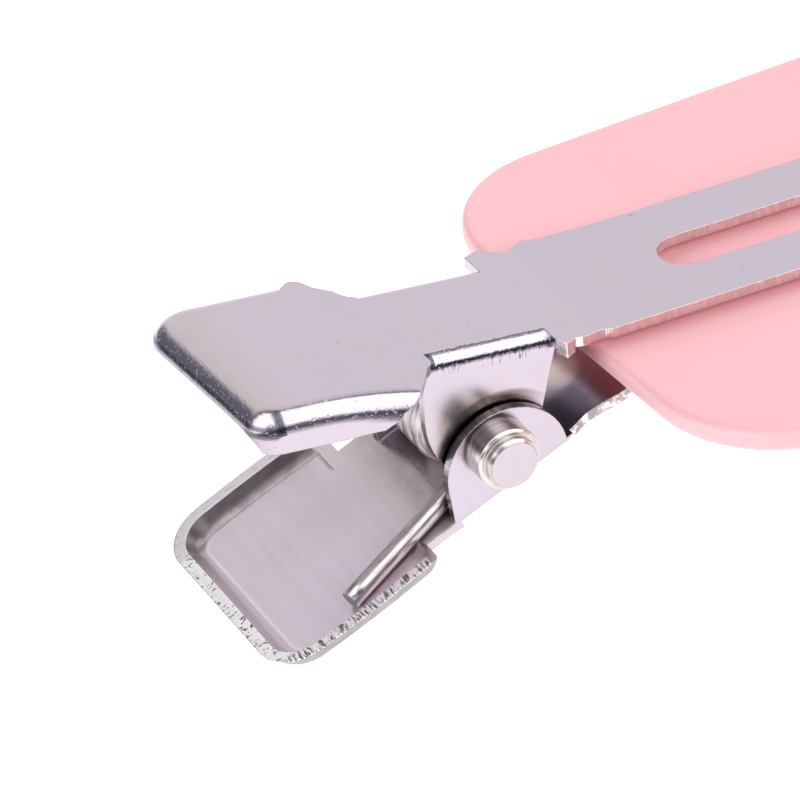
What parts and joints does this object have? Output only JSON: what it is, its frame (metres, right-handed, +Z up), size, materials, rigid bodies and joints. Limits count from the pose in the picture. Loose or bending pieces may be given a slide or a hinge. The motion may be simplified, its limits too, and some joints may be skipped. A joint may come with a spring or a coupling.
{
  "type": "hair clip",
  "caption": "Spring hair clip: hinged steel jaws with pinch levers, one blade slotted, closed on a flat rounded plastic plate.",
  "frame": {"origin": "centre of the bounding box on the surface that the clip lies on", "axes": "+X from the levers to the blades' tips, +Y away from the stepped pin head, +Z up"},
  "size_m": [0.0762, 0.0282, 0.0122],
  "materials": {
    "jaw_steel": "satin nickel plate on rolled strip, bright at the folds",
    "pin_steel": "turned and nickel plated",
    "spring_steel": "drawn spring wire, slightly golden",
    "pink_plastic": "smooth opaque pink plastic with a soft sheen"
  },
  "bodies": {
    "lower": {"lower_jaw": "jaw_steel", "pivot_pin": "pin_steel", "spring": "spring_steel", "plate": "pink_plastic"},
    "upper": {"upper_jaw": "jaw_steel"}
  },
  "joints": [
    {"name": "jaw_hinge", "type": "hinge", "parent": "lower", "child": "upper", "pos_m": [-0.02645, -0.00035, 0.00567], "axis": [0, -1, 0], "range_deg": [0, 45], "stiffness_Nm_per_rad": 0.04, "springref_deg": -28.65, "deforming": ["spring"]}
  ]
}
